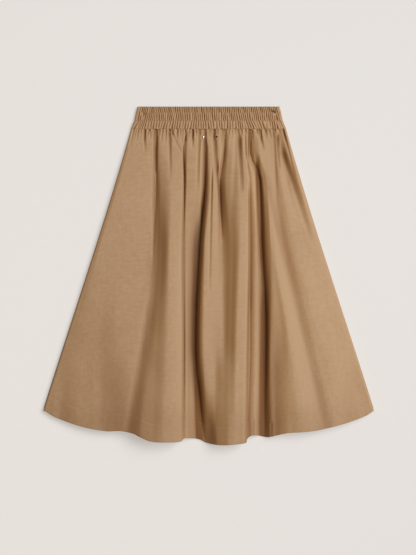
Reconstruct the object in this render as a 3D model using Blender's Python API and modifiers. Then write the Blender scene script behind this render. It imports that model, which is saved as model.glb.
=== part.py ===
"""Circle skirt: a flared part-circle skirt gathered on an elastic waistband, laid flat.

The waist points to +Y, the hem to -Y, and the front panel faces up (+Z). The origin is the
middle of the skirt's box, on the surface that it lies on. Lengths are in metres; the fold
tables are in millimetres, because a maker reads them that way.
"""

import math
from collections import namedtuple

import bmesh
import bpy
from mathutils import Vector
from mathutils.bvhtree import BVHTree

MM = 0.001

# The skirt as it lies
SKIRT_LENGTH = 0.795            # waistband's top edge to the lowest point of the hem
BAND_HEIGHT = 0.0533            # 50 mm elastic and its ease
SEAM_GAP = 0.0003               # between two pieces that are sewn together
SEAM_HALF_WIDTH = 0.1827        # half the width at the waist seam
HEM_HALF_WIDTH = 0.3891         # half the width at the hem's corners
CORNER_DEPTH = 0.6628           # waist seam to a hem corner, down the skirt
HEM_ARC_SAG = 0.0625            # how far the hem's arc drops from its corners to the middle
SIDE_DIP = 0.0034               # how far the side edges pull in, a third of the way down
BACK_HEM_INSET = 0.003          # the back hem lies this far inside the front one

# Cloth
PANEL_WALL = 0.0010
HEM_WALL = 0.0018               # the panel and its turned-up hem
HEM_TURN_UP = 0.040
BAND_WALL = 0.0026              # two layers of cloth and the elastic between them

# How the layers lie
SIDE_SEAM_HEIGHT = 0.0030       # the side seams, above the table
EDGE_RADIUS = 0.0040            # the rounding where the front turns down to a side seam
SEAM_STAND = 0.0005             # a side seam's edge stands upright this far
SEAM_STRAIGHT = 0.0012          # a waist seam's edge runs straight this far
ECHO_START = 0.55               # the back panel's folds start this far down it
ECHO_SHARE = 0.20               # and reach this share of the front's fold above them
ECHO_ABOVE = 0.010              # where the front lies higher than this

# Waistband
BAND_SEAM_HEIGHT = 0.0041
BAND_EDGE_RADIUS = 0.0038
BAND_GATHERS = 18               # the largest of the ruches across the front
GATHER_RELIEF = 0.0007
GATHER_FACES = 4                # faces across one ruche
BandRow = namedtuple("BandRow", "above_seam half_width relief")
BAND_ROWS = (
    BandRow(0.0000, 0.1827, 1.0),
    BandRow(0.0090, 0.1795, 0.6),
    BandRow(0.0195, 0.1748, 0.9),
    BandRow(0.0375, 0.1712, 1.0),
    BandRow(0.0533, 0.1670, 0.7),
)

# Studs
STUD_RADIUS = 0.0024
STUD_RISE = 0.0013
STUD_RIM = 0.0004
STUD_DEPTH = 0.0184             # below the waist seam
STUD_ACROSS = {"stud_left": -0.0127, "stud_right": 0.0196}
STUD_CLEARANCE = 0.0004         # over the highest cloth under its rim
STUD_STEPS = 20

# Each line runs from the waist seam to the hem, along the top of a fold, its valley or its
# edge. across_mm and lift_mm hold its place from the centre line and its height over the
# back panel at the STATIONS; hem_drop_mm is how far it reaches past the hem's arc, and
# faces is how many faces lie between it and the next line.
STATIONS = (0.0, 0.13, 0.33, 0.59, 1.0)
Line = namedtuple("Line", "name across_mm lift_mm hem_drop_mm faces")
FOLD_LINES = (
    Line("left_edge_swell", (-173, -198, -236, -290, -357), (4.2, 6.0, 8.0, 9.0, 9.0), 7.0, 4),
    Line("left_wing", (-158, -172, -202, -232, -270), (4.2, 7.5, 9.0, 13, 14), 10.0, 2),
    Line("left_wing_step", (-142, -148, -166, -192, -220), (4.2, 7.0, 9.5, 15, 19), 6.0, 2),
    Line("fold_a_trough", (-122, -123, -131, -147, -178), (0.8, 1.2, 8.5, 14, 22), 2.6, 2),
    Line("fold_a_flank", (-112, -109, -110, -122, -131), (4.0, 8.0, 22, 31, 36), 14.8, 3),
    Line("fold_a_crest", (-94, -92, -86, -86, -95), (4.2, 11, 33, 41, 41), 13.2, 2),
    Line("fold_a_edge", (-55, -61, -64, -64, -57), (4.2, 11, 31, 39, 39), 8.0, 1),
    Line("fold_a_crease", (-49, -56, -58, -57, -50), (0.8, 2.0, 8.0, 8.0, 9.0), 5.0, 1),
    Line("fold_a_strip", (-36, -30, -38, -42, -37), (4.2, 11, 8.0, 5.0, 6.0), 3.2, 2),
    Line("left_valley", (-13, -7, -16, -25, -20), (0.8, 1.0, 0.8, 0.8, 0.8), 7.0, 2),
    Line("fold_b_crest", (0, 6, -1, -5, 5), (4.2, 11, 25, 28, 28), 14.8, 2),
    Line("fold_b_fall", (22, 22, 17, 17, 23), (4.2, 11, 22, 23, 33), 16.6, 2),
    Line("fold_c_foot", (43, 32, 30, 35, 41), (1.4, 3.0, 14, 19, 35), 17.1, 3),
    Line("fold_c_crest", (60, 62, 76, 75, 74), (4.2, 12, 33, 40, 40), 15.9, 2),
    Line("fold_c_edge", (80, 86, 91, 91, 88), (4.2, 12, 31, 38, 38), 13.5, 1),
    Line("fold_c_crease", (87, 93, 98, 98, 94), (2.4, 10, 11, 9.0, 9.0), 5.5, 1),
    Line("fold_c_strip", (93, 99, 107, 109, 103), (4.2, 11, 11, 9.0, 10), 0.0, 2),
    Line("right_valley", (100, 111, 126, 133, 131), (0.8, 1.0, 0.8, 0.8, 0.8), 3.7, 2),
    Line("fold_d_wall", (106, 120, 134, 143, 146), (3.8, 8.0, 14, 16, 11), 8.0, 2),
    Line("fold_d_flank", (118, 129, 146, 168, 176), (4.2, 12, 21, 24, 20), 5.0, 2),
    Line("fold_d_crest", (130, 139, 162, 188, 225), (4.2, 12.5, 25, 29, 31), 6.2, 2),
    Line("right_wing_step", (148, 160, 190, 223, 263), (4.2, 10, 20, 25, 26), 9.4, 2),
    Line("right_wing", (163, 178, 217, 257, 321), (4.2, 11, 22, 25, 22), 8.8, 2),
    Line("right_edge_swell", (176, 196, 236, 290, 367), (4.2, 11, 18, 18, 13), 5.1, 2),
)
LEFT_EDGE_LIFT_MM = (4.2, 5.2, 6.0, 6.0, 6.0)
RIGHT_EDGE_LIFT_MM = (4.2, 9.0, 15, 13, 9.0)
EDGE_FACES = 2                  # between the left side edge and the first line
CURL_FACES = 3                  # round each side edge
PANEL_ROWS = 17
ROW_CROWDING = 1.25             # over 1 puts more rows near the waist

SEAM_Y = SKIRT_LENGTH / 2 - BAND_HEIGHT
FRONT_BASE = HEM_WALL * 2       # the front's outer face where its lift is 0


def ease(share):
    """Go from 0 to 1, level at both ends."""
    share = min(1.0, max(0.0, share))
    return share * share * (3 - 2 * share)


def along(values, down):
    """Read a row of the fold table at any distance down the skirt, as a smooth curve."""
    span = 0
    while span < len(STATIONS) - 2 and down > STATIONS[span + 1]:
        span += 1
    start, end = STATIONS[span], STATIONS[span + 1]
    width = end - start

    def slope(index):
        if index in (0, len(STATIONS) - 1):
            return 0.0
        return (values[index + 1] - values[index - 1]) / (STATIONS[index + 1] - STATIONS[index - 1])

    t = (down - start) / width
    return (
        values[span] * (2 * t ** 3 - 3 * t ** 2 + 1)
        + values[span + 1] * (3 * t ** 2 - 2 * t ** 3)
        + slope(span) * width * (t ** 3 - 2 * t ** 2 + t)
        + slope(span + 1) * width * (t ** 3 - t ** 2)
    )


def half_width(depth):
    """Half the skirt's width at a depth below the waist seam."""
    share = min(1.0, depth / CORNER_DEPTH)
    deepest = 1 / 3
    dip = SIDE_DIP * share * (1 - share) ** 2 / (deepest * (1 - deepest) ** 2)
    return SEAM_HALF_WIDTH + (HEM_HALF_WIDTH - SEAM_HALF_WIDTH) * share - dip


def arc_depth(across):
    """Depth of the hem's arc below the waist seam at a place across the skirt."""
    radius = (HEM_HALF_WIDTH ** 2 + HEM_ARC_SAG ** 2) / (2 * HEM_ARC_SAG)
    rise = radius - math.sqrt(radius ** 2 - min(abs(across), HEM_HALF_WIDTH) ** 2)
    return CORNER_DEPTH + HEM_ARC_SAG - rise


def line_at(line, down):
    """Where a fold line is at a share of the way down: across and lift, in metres."""
    return along(line.across_mm, down) * MM, along(line.lift_mm, down) * MM


def edge_at(side, down, inset):
    """Where the flat of the cloth ends beside a side edge: across and lift, in metres."""
    across = side * (half_width(down * CORNER_DEPTH) - inset)
    lifts = LEFT_EDGE_LIFT_MM if side < 0 else RIGHT_EDGE_LIFT_MM
    return across, along(lifts, down) * MM


def column_shares(lines):
    """List the grid's columns as (line before, line after, share between them)."""
    columns = []
    before = [("edge", -1)] + [("line", line) for line in lines]
    after = before[1:] + [("edge", 1)]
    counts = [EDGE_FACES] + [line.faces for line in lines]
    for start, end, count in zip(before, after, counts):
        for step in range(count):
            columns.append((start, end, step / count))
    columns.append((before[-1], after[-1], 1.0))
    return columns


def place(knot, down, inset):
    """Return across and lift of one end of a column's span."""
    kind, value = knot
    if kind == "edge":
        return edge_at(value, down, inset)
    return line_at(value, down)


def drop(knot):
    """Return how far one end of a column's span reaches past the hem's arc."""
    kind, value = knot
    return 0.0 if kind == "edge" else value.hem_drop_mm * MM


def surface(column, down, inset=EDGE_RADIUS):
    """Return across, lift and hem drop of a column at a share of the way down."""
    start, end, share = column
    across_a, lift_a = place(start, down, inset)
    across_b, lift_b = place(end, down, inset)
    blend = ease(share)
    across = across_a + (across_b - across_a) * share
    return (
        across,
        lift_a + (lift_b - lift_a) * blend,
        drop(start) + (drop(end) - drop(start)) * blend,
    )


def panel_rows():
    """List the rows from waist to hem, with one at the top of the turned-up hem."""
    rows = [(index / PANEL_ROWS) ** (1 / ROW_CROWDING) for index in range(PANEL_ROWS + 1)]
    rows = [1 - share for share in reversed(rows)]
    fold_row = 1 - HEM_TURN_UP / (CORNER_DEPTH + HEM_ARC_SAG)
    spare = 0.5 / PANEL_ROWS
    return [share for share in rows if share < fold_row - spare] + [fold_row, 1.0]


def echo(lift, down):
    """Return how far the back panel lifts off the table under a fold of the front."""
    return ECHO_SHARE * max(0.0, lift - ECHO_ABOVE) * ease((down - ECHO_START) / (1 - ECHO_START))


def front_point(column, down):
    """Return a point of the front panel's outer face."""
    across, lift, hem_drop = surface(column, down)
    hem_across = surface(column, 1.0)[0]
    depth = SEAM_GAP / 2 + down * (arc_depth(hem_across) + hem_drop - SEAM_GAP / 2)
    return Vector((across, SEAM_Y - depth, FRONT_BASE + lift))


def back_point(column, down):
    """Return a point of the back panel's outer face, which is its underside."""
    across, lift, _ = surface(column, down, inset=SIDE_SEAM_HEIGHT)
    hem_across = surface(column, 1.0, inset=SIDE_SEAM_HEIGHT)[0]
    depth = SEAM_GAP / 2 + down * (arc_depth(hem_across) - BACK_HEM_INSET - SEAM_GAP / 2)
    return Vector((across, SEAM_Y - depth, echo(lift, down)))


def curl(edge, side, seam_height, radius, faces):
    """List the points that turn from a flat edge to a seam at the side, seam point first."""
    direction = 1 if edge.z > seam_height else -1
    stand = seam_height + direction * (SEAM_GAP / 2 + SEAM_STAND)
    rise = edge.z - stand
    points = [Vector((edge.x + side * radius, edge.y, seam_height + direction * SEAM_GAP / 2))]
    for step in range(faces):
        angle = math.pi / 2 * step / faces
        out = edge.x + side * radius * math.cos(angle)
        points.append(Vector((out, edge.y, stand + rise * math.sin(angle))))
    return points


def with_curls(row, seam_height, radius, faces):
    """Add the turned-down sides to a row of points that runs from left to right."""
    left = curl(row[0], -1, seam_height, radius, faces)
    right = curl(row[-1], 1, seam_height, radius, faces)
    return left + row + list(reversed(right))


def straight_start(rows):
    """Run a short way straight on from a sewn edge, so that the edge's wall faces its seam."""
    onward = math.copysign(SEAM_STRAIGHT, rows[1][0].y - rows[0][0].y)
    straight = [point + Vector((0.0, onward, 0.0)) for point in rows[0]]
    return [rows[0], straight] + rows[1:]


def new_material(name, colour, roughness, metallic=0.0):
    """Make a plain finish."""
    material = bpy.data.materials.new(name)
    material.use_nodes = True
    shader = material.node_tree.nodes["Principled BSDF"]
    shader.inputs["Base Color"].default_value = (*colour, 1.0)
    shader.inputs["Roughness"].default_value = roughness
    shader.inputs["Metallic"].default_value = metallic
    material.diffuse_color = (*colour, 1.0)
    return material


def cloth_sheet(name, rows, wall, material, collection, thick_rows=0, thick_wall=None):
    """Loft a sheet through rows of points and give it a wall on its inner side."""
    mesh = bpy.data.meshes.new(name)
    sheet = bmesh.new()
    grid = [[sheet.verts.new(point) for point in row] for row in rows]
    for upper, lower in zip(grid, grid[1:]):
        for left in range(len(upper) - 1):
            sheet.faces.new((upper[left], lower[left], lower[left + 1], upper[left + 1]))
    sheet.to_mesh(mesh)
    sheet.free()
    mesh.shade_smooth()
    mesh.materials.append(material)
    piece = bpy.data.objects.new(name, mesh)
    collection.objects.link(piece)

    solid = piece.modifiers.new("cloth wall", "SOLIDIFY")
    solid.thickness = thick_wall or wall
    solid.offset = -1.0
    solid.use_even_offset = True
    if thick_rows:
        layers = piece.vertex_groups.new(name="cloth layers")
        columns = len(rows[0])
        first_thick = len(rows) - thick_rows
        thin = list(range(first_thick * columns))
        thick = list(range(first_thick * columns, len(rows) * columns))
        layers.add(thin, wall / thick_wall, "REPLACE")
        layers.add(thick, 1.0, "REPLACE")
        solid.vertex_group = layers.name
    return piece


def make_front_panel(material, collection):
    """Loft the front panel along its folds; its hem is two layers thick."""
    columns = column_shares(FOLD_LINES)
    rows = []
    for down in panel_rows():
        row = [front_point(column, down) for column in columns]
        rows.append(with_curls(row, SIDE_SEAM_HEIGHT, EDGE_RADIUS, CURL_FACES))
    rows = straight_start(rows)
    return cloth_sheet(
        "front_panel", rows, PANEL_WALL, material, collection, thick_rows=2, thick_wall=HEM_WALL
    )


def make_back_panel(material, collection):
    """Loft the back panel, which lies on the table and echoes the wide folds at its hem."""
    wide_folds = [line for line in FOLD_LINES if line.faces > 1]
    columns = [column for column in column_shares(wide_folds) if column[2] in (0.0, 1.0)]
    rows = []
    downs = panel_rows()
    for down in downs[:-1:2] + downs[-1:]:
        row = [back_point(column, down) for column in columns]
        row = with_curls(row, SIDE_SEAM_HEIGHT, SIDE_SEAM_HEIGHT, CURL_FACES)
        rows.append(list(reversed(row)))
    rows = straight_start(rows)
    return cloth_sheet("back_panel", rows, PANEL_WALL, material, collection)


def band_row(band, side_up, faces):
    """List one row of the waistband's outer face, ruched on top and flat underneath."""
    inset = BAND_EDGE_RADIUS
    reach = band.half_width - inset
    top = BAND_SEAM_HEIGHT + BAND_EDGE_RADIUS
    bottom = SEAM_Y + SEAM_GAP / 2
    rise = (SKIRT_LENGTH / 2 - bottom) / BAND_HEIGHT
    row = []
    for step in range(faces + 1):
        share = step / faces
        across = reach * (2 * share - 1)
        wave = math.sin(2 * math.pi * share * BAND_GATHERS) if side_up else 0.0
        height = top + GATHER_RELIEF * band.relief * wave if side_up else 0.0
        row.append(Vector((across, bottom + rise * band.above_seam, height)))
    return row


def make_waistband(name, side_up, material, collection):
    """Loft one half of the gathered elastic casing."""
    faces = BAND_GATHERS * (GATHER_FACES if side_up else 1)
    rows = []
    for band in BAND_ROWS:
        row = band_row(band, side_up, faces)
        row = with_curls(row, BAND_SEAM_HEIGHT, BAND_EDGE_RADIUS, CURL_FACES)
        rows.append(row if side_up else list(reversed(row)))
    rows = list(reversed(straight_start(rows)))
    rows = straight_start(rows)
    return cloth_sheet(name, rows, BAND_WALL, material, collection)


def seat_on(panel, across, depth):
    """Return the point and direction in which a stud stands on a panel's outer face."""
    solid = BVHTree.FromObject(panel, bpy.context.evaluated_depsgraph_get())
    above = BAND_HEIGHT

    def touch(turn, radius):
        round_x = across + radius * math.cos(turn)
        round_y = SEAM_Y - depth + radius * math.sin(turn)
        return solid.ray_cast(Vector((round_x, round_y, above)), Vector((0, 0, -1)))[0]

    turns = [2 * math.pi * step / STUD_STEPS for step in range(STUD_STEPS)]
    rim = [touch(turn, STUD_RADIUS) for turn in turns]
    middle = touch(0.0, 0.0)
    quarter = STUD_STEPS // 4
    along_x = rim[0] - rim[2 * quarter]
    along_y = rim[quarter] - rim[3 * quarter]
    normal = along_x.cross(along_y).normalized()
    proud = max((point - middle).dot(normal) for point in rim + [middle])
    return middle + normal * (proud + STUD_CLEARANCE), normal


def make_stud(name, across, panel, material, collection):
    """Turn a small domed stud and seat it on the front panel."""
    profile = [(0.0, STUD_RIM + STUD_RISE)]
    arcs = 5
    for step in range(1, arcs + 1):
        angle = math.pi / 2 * step / arcs
        profile.append((STUD_RADIUS * math.sin(angle), STUD_RIM + STUD_RISE * math.cos(angle)))
    profile += [(STUD_RADIUS, 0.0), (0.0, 0.0)]
    mesh = bpy.data.meshes.new(name)
    turned = bmesh.new()
    points = [turned.verts.new((radius, 0.0, height)) for radius, height in profile]
    for start, end in zip(points, points[1:]):
        turned.edges.new((start, end))
    turned.to_mesh(mesh)
    turned.free()
    mesh.materials.append(material)
    stud = bpy.data.objects.new(name, mesh)
    collection.objects.link(stud)

    screw = stud.modifiers.new("turning", "SCREW")
    screw.steps = STUD_STEPS
    screw.render_steps = STUD_STEPS
    screw.use_merge_vertices = True
    screw.merge_threshold = 0.00001

    seat, normal = seat_on(panel, across, STUD_DEPTH)
    stud.location = seat
    stud.rotation_mode = "QUATERNION"
    stud.rotation_quaternion = Vector((0, 0, 1)).rotation_difference(normal)
    return stud


def main():
    for leftover in list(bpy.data.objects):
        bpy.data.objects.remove(leftover, do_unlink=True)
    collection = bpy.data.collections.new("circle_skirt")
    bpy.context.scene.collection.children.link(collection)

    gabardine = {
        name: new_material(name + "_gabardine", (0.38, 0.235, 0.13), 0.85)
        for name in ("front_panel", "back_panel", "waistband_front", "waistband_back")
    }
    front_panel = make_front_panel(gabardine["front_panel"], collection)
    make_back_panel(gabardine["back_panel"], collection)
    make_waistband("waistband_front", True, gabardine["waistband_front"], collection)
    make_waistband("waistband_back", False, gabardine["waistband_back"], collection)
    for name, across in STUD_ACROSS.items():
        brass = new_material(name + "_brass", (0.80, 0.72, 0.55), 0.3, metallic=1.0)
        make_stud(name, across, front_panel, brass, collection)


main()
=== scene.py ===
"""Circle skirt laid flat: cloth, stitching, studs and a plain studio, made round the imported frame.

The waist points to +Y and the front faces up. Lengths are in metres; the tables of folds and
gathers are in millimetres, because a maker reads them that way.
"""

import math
from collections import namedtuple

import bmesh
import bpy
import numpy as np
from bpy.props import FloatProperty, FloatVectorProperty, PointerProperty
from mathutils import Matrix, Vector


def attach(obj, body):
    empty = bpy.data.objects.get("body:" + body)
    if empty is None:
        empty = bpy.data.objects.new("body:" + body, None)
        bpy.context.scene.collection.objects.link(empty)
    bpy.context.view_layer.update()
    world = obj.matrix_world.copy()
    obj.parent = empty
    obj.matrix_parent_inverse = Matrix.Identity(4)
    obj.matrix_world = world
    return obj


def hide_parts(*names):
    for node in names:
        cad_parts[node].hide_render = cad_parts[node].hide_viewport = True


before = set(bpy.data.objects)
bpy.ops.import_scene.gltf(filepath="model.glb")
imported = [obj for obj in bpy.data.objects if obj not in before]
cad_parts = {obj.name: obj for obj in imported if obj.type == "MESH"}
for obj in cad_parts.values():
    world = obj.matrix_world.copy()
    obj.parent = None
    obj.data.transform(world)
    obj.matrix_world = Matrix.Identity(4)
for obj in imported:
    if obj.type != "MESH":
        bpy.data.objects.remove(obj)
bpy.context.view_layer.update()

bl_info = {
    "name": "Circle skirt",
    "version": (1, 0, 0),
    "blender": (4, 5, 0),
    "location": "3D View > Sidebar > Skirt",
    "description": "Makes a gathered circle skirt laid flat, with its stitching, studs and studio",
    "category": "Object",
}

MM = 0.001

# The pieces' sizes, as they are cut and sewn
SEAM_GAP = 0.00005
CORNER_DEPTH = 0.6608           # waist seam to a hem corner, down the skirt
HEM_ARC_SAG = 0.0625            # how far the hem's arc drops from its corners to the middle
SIDE_DIP = 0.0034               # how far the side edges pull in, a third of the way down
SIDE_DIP_AT = 1 / 3
SIDE_SEAM_HEIGHT = 0.0030
SIDE_STAND = 0.0004             # the cloth rises this far from a side seam before it curls over
EDGE_RADIUS = 0.0040
SEAM_LIFT = 0.0042              # the front's lift where it is sewn to the waistband
SEAM_LIFT_RUN = 0.0018          # depth over which the front leaves that lift
FRONT_BASE = 0.0036             # the front's outer face where its lift is 0
LEAST_LIFT = 0.0003
HEM_EDGE_RADIUS = 0.0007
HEM_STITCH = 0.944              # the hem's stitching, as a share of the way down
BACK_HEM_INSET = 0.003
FLOOR_CLEARANCE = 0.0002
STUD_CLEARANCE = 0.0001
STUD_LEVEL_REACH = 0.0026       # the cloth is level with a stud's base this far round it
STUD_LEVEL_RUN = 0.0065

# Small relief of the front panel. At the hem, lengths down the cloth are shares of the whole way
# down, and are read from the hem's stitching.
SIDE_ROOM = 0.009               # tucks fade out over this width, towards the sides
RUMPLE_HEIGHT = 0.0003
RUMPLE_LENGTH = 0.09
RUMPLE_RUN = 0.05               # depth over which rumples set in below the waist seam
RUMPLE_SEED = 3
HEM_LAYER = 0.00012             # how much higher the second layer makes the cloth stand
HEM_LAYER_RUN = 0.003
STITCH_PULL = 0.0002
STITCH_PULL_RUN = 0.0018
PUCKER_HEIGHT = 0.0002
PUCKER_LENGTH = 0.016
PUCKER_SEED = 8
PUCKER_ABOVE = 0.022
PUCKER_RUN = 0.02
PUCKER_MOST_AT = 0.122          # puckers are highest here, right of the centre line
PUCKER_MOST_WIDTH = 0.035

# Painted shade in creases. A hollow takes the full painted shade where its less steep side is as
# steep as this, read within its reach.
FOLD_REACH = 0.06
FOLD_STEEPNESS = 1.12
RUCHE_REACH = 0.0035
RUCHE_STEEPNESS = 0.5
NARROWEST_RUN = 0.0008
HOLLOW_SHADE_CURVE = 1.6              # how late a hollow's painted shade sets in
TUCK_FULL_SHADE_DEPTH = 0.0052       # a tuck this deep takes the full painted shade
TUCK_SHADE_CURVE = 1.3
WAIST_SHADE = 1.1                # folds take this share more painted shade at the waist seam
WAIST_SHADE_RUN = 0.04
HEM_DARKENING = 0.15               # the cloth is painted darker towards the hem, as this share of a full crease's painted shade
HEM_DARKENING_FROM = 0.84
HEM_DARKENING_RUN = 0.1
SHADE_LIGHT_WAY = (0.77, 0.64)              # a level way to the upper right, towards the soft light, across and up the skirt
SHADE_FULL_SLOPE = 0.5

# Waistband: its half width at heights above the waist seam, drawn in by the elastic
BAND_RISES = (0, 0.009, 0.0195, 0.0375, 0.0533)
BAND_HALF_WIDTHS = (0.1827, 0.1795, 0.1748, 0.1712, 0.1670)
BAND_MIDDLE_HALF_WIDTH = 0.1712
BAND_SEAM_HEIGHT = 0.0041
BAND_EDGE_RADIUS = 0.0038
BAND_WALL = 0.0026
BACK_BAND_SAG = 0.0003          # how far the back half may sink below its own edge radius
FRONT_BAND_SEED = 40
BACK_BAND_SEED = 80
BAND_ROLL = 0.0011              # width over which its top and bottom edges round off
BAND_BOTTOM_ROUNDING = 0.0004
BAND_TOP_ROUNDING = 0.0014
BAND_SIDE_ROOM = 0.003          # ruches fade out over this width, towards the sides
BAND_TOP_WAVE = 0.0009
BAND_TOP_WAVE_LENGTH = 0.008
BAND_TOP_WAVE_FROM = 0.045
BAND_TOP_WAVE_RUN = 0.008
CHANNEL_ROWS = (0.0195, 0.0385)  # stitching through the elastic, above the waist seam
# Ruches of the channels that the stitching parts, from the waist seam up: how far apart they
# are, how much they slant, and how deep they are as a share of the ruches' relief
Ruches = namedtuple("Ruches", "pitch slant share")
RUCHED_CHANNELS = (Ruches(0.0060, 0.24, 0.58), Ruches(0.0049, 0.20, 0.66), Ruches(0.0045, 0.06, 0.7))
RUCHE_LEAN_LENGTH = 0.075       # lengths over which ruches change in slant, spacing and depth
RUCHE_SWAY_LENGTH = 0.028
RUCHE_DEPTH_LENGTH = 0.017
RUCHE_SWAY = 1.2                # how far they stray from even spacing, in radians
RUCHE_BULGE = 0.45              # the bulges' and the valleys' parts of a channel's relief
RUCHE_VALLEY = 1.5
RUCHE_DEPTHS = (0.75, 0.35)     # the valleys' mean depth, and how far it varies along the band
RUCHE_RISE = (0.55, 0.45)       # their depth at the stitching, and what mid-channel adds
DENT_DEPTH = 0.0016             # the panel's gathers press dents into the lowest channel
DENT_RISE = 0.006
DENT_PITCH = 0.0142
DENT_SWAY = 1.5
DENT_SWAY_LENGTH = 0.04
# The elastic's ends are tacked down, with a dimple on the left and a tack and a crease on the
# right. Places are across the skirt and above the waist seam.
DIMPLE_PLACE = (-0.1513, 0.0350)
DIMPLE_SIZE = (0.0048, 0.0026)
DIMPLE_DEPTH = 0.0036
TACK_CREASE_PLACE = (0.1540, 0.0410)
TACK_CREASE_LEAN = 0.37
TACK_CREASE_WIDTH = 0.0016
TACK_CREASE_DEPTH = 0.0016
TACK_CREASE_BOTTOM = 0.018
TACK_CREASE_BOTTOM_RUN = 0.006
TACK_CREASE_TOP = 0.044
TACK_CREASE_TOP_RUN = 0.004
TACK_PLACE = (0.1538, 0.0418)
TACK_SIZE = (0.0095, 0.0060)
TACK_TURN = math.radians(-28)
TACK_STITCHES = 15
TACK_THREAD = 0.0006
TACK_RISE = 0.0002
# Painted shade on the band along its two rows of stitching and its top edge, and at the seam
SHADED_ROWS = (0.21, 0.12, 0.17)
SHADED_ROW_WIDTH = 0.0026
SHADED_SEAM = 0.10
SHADED_SEAM_RISE = 0.012

# Machine stitches: length, gap between two, and thickness of the thread
HEM_STITCH_SIZE = (0.0026, 0.0014, 0.00035)
CHANNEL_STITCH_SIZE = (0.0026, 0.0010, 0.0004)
STITCH_RISE = 0.3               # a stitch's middle stands this share of its thickness proud
STITCH_SIDES = 6
STITCH_SWELL = ((0.0, 0.35), (0.12, 0.85), (0.5, 1.0), (0.88, 0.85), (1.0, 0.35))

# The back panel rises a little under the front's higher folds, towards the hem.
BACK_ECHO = 0.2
BACK_ECHO_LIFT = 0.010
BACK_ECHO_FROM = 0.55
BACK_ECHO_RUN = 0.45

# What the pieces are cut to, before they are gathered and sewn
PANEL_HALF_ANGLE = 0.3037       # a panel is a sector of a circle: half its angle, in radians
PANEL_APEX = 0.583              # the sector's point, above the waist seam
CASING_FULLNESS = 1.4           # length of casing gathered into each length of waistband

# How finely the cloth is meshed
HEM_COLUMN = 0.0032
WAIST_COLUMN = 0.0016
BACK_HEM_COLUMN = 3 * HEM_COLUMN
BACK_WAIST_COLUMN = 4 * WAIST_COLUMN
BACK_ROW_STEP = 2
CURL_FACES = 4
HEM_TURN_FACES = 5
HEM_INSIDE_STEP = 3
BAND_COLUMN = 0.00075
BAND_ROW = 0.0011

# Studio
FLOOR_HALF_SIZE = 40
KEY_COLOUR = (0.965, 0.984, 1.0)
KEY_FALLOFF = 2.1               # how fast the soft light falls off over the table
WALL_COLOUR = (0.72, 0.68, 0.63)
CEILING_TINT = (1.0, 0.83, 0.62)
WALL_TOP = (0.10, 0.32)         # where the walls pass into the ceiling, as the Z of a direction
CAMERA_PLACE = (-0.0013, -0.005)  # over the middle of the skirt
SENSOR_WIDTH = 36.0
CAMERA_REACH = 100.0

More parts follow.
